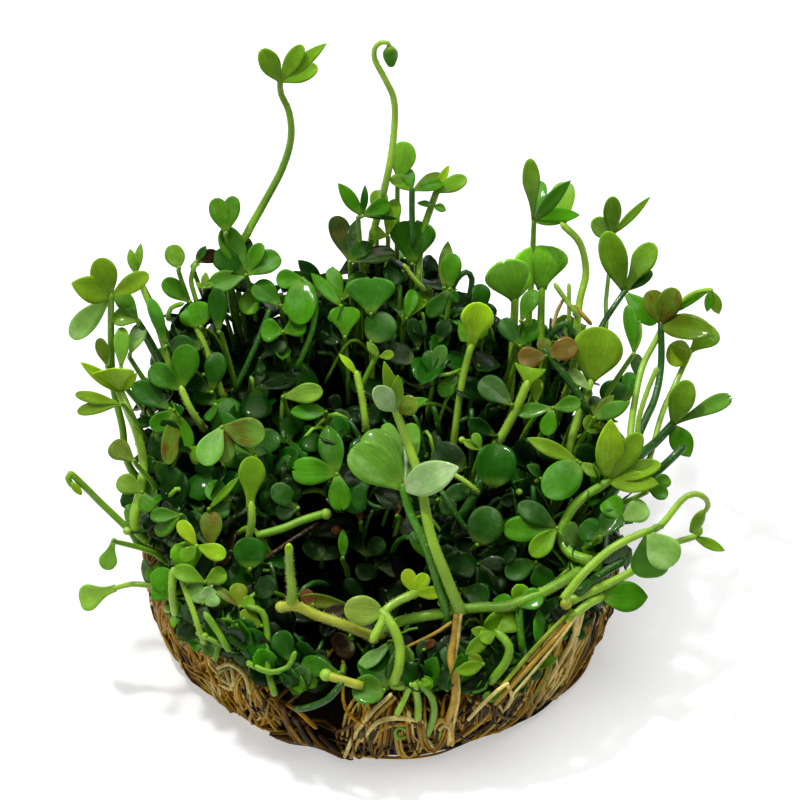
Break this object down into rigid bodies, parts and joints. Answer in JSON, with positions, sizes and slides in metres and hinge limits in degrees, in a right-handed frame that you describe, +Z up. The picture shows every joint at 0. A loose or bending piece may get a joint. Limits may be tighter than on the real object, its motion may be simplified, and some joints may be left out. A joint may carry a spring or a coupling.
{
  "type": "dwarf water clover clump",
  "caption": "Clump of dwarf water clover: small glossy fronds and creeping runners on a round flat mat of roots, which rests on its underside.",
  "frame": {"origin": "centre of the root mat's flat underside", "axes": "+Z up out of the mat; -Y is the front of the plant, where its runner lies"},
  "size_m": [0.082, 0.0637, 0.0621],
  "materials": {
    "root": "wet matte fibres",
    "foliage": "wet gloss",
    "leaf": "wet gloss",
    "stalk": "satin with short hairs",
    "runner": "satin with short hairs"
  },
  "bodies": {
    "root": {"root_mat": "root", "front_runner": "runner", "upright_shoot": "runner", "tuft_front": "foliage", "tuft_front_right": "foliage", "tuft_right": "foliage", "tuft_back_right": "foliage", "tuft_back": "foliage", "tuft_back_left": "foliage", "tuft_left": "foliage", "tuft_front_left": "foliage", "tuft_middle": "foliage", "tall_fiddlehead": "stalk", "low_fiddlehead": "stalk", "left_hook": "stalk", "tall_cross_stalk": "stalk", "tall_cross_leaf": "leaf", "top_cross_stalk": "stalk", "top_cross_leaf": "leaf", "bent_stalk": "stalk", "bent_leaf": "leaf", "right_fan_stalk": "stalk", "right_fan_leaf": "leaf", "left_fan_stalk": "stalk", "left_fan_leaf": "leaf", "lime_spoon_stalk": "stalk", "lime_spoon_leaf": "leaf", "right_crown_stalk": "stalk", "right_crown_leaf": "leaf", "right_sprig_stalk": "stalk", "right_sprig_leaf": "leaf", "right_gloss_stalk": "stalk", "right_gloss_leaf": "leaf", "right_arch_stalk": "stalk", "right_arch_leaf": "leaf", "right_tooth_stalk": "stalk", "right_tooth_leaf": "leaf", "big_spoon_stalk": "stalk", "big_spoon_leaf": "leaf", "lime_cross_stalk": "stalk", "lime_cross_leaf": "leaf", "low_round_leaf": "leaf", "low_fork_stalk": "stalk", "low_fork_leaf": "leaf", "low_wide_stalk": "stalk", "low_wide_leaf": "leaf", "left_cross_stalk": "stalk", "left_cross_leaf": "leaf", "left_flare_stalk": "stalk", "left_flare_leaf": "leaf", "far_left_spoon_stalk": "stalk", "far_left_spoon_leaf": "leaf", "front_tall_stalk": "stalk", "front_tall_leaf": "leaf", "pale_cross_stalk": "stalk", "pale_cross_leaf": "leaf"}
  },
  "joints": []
}
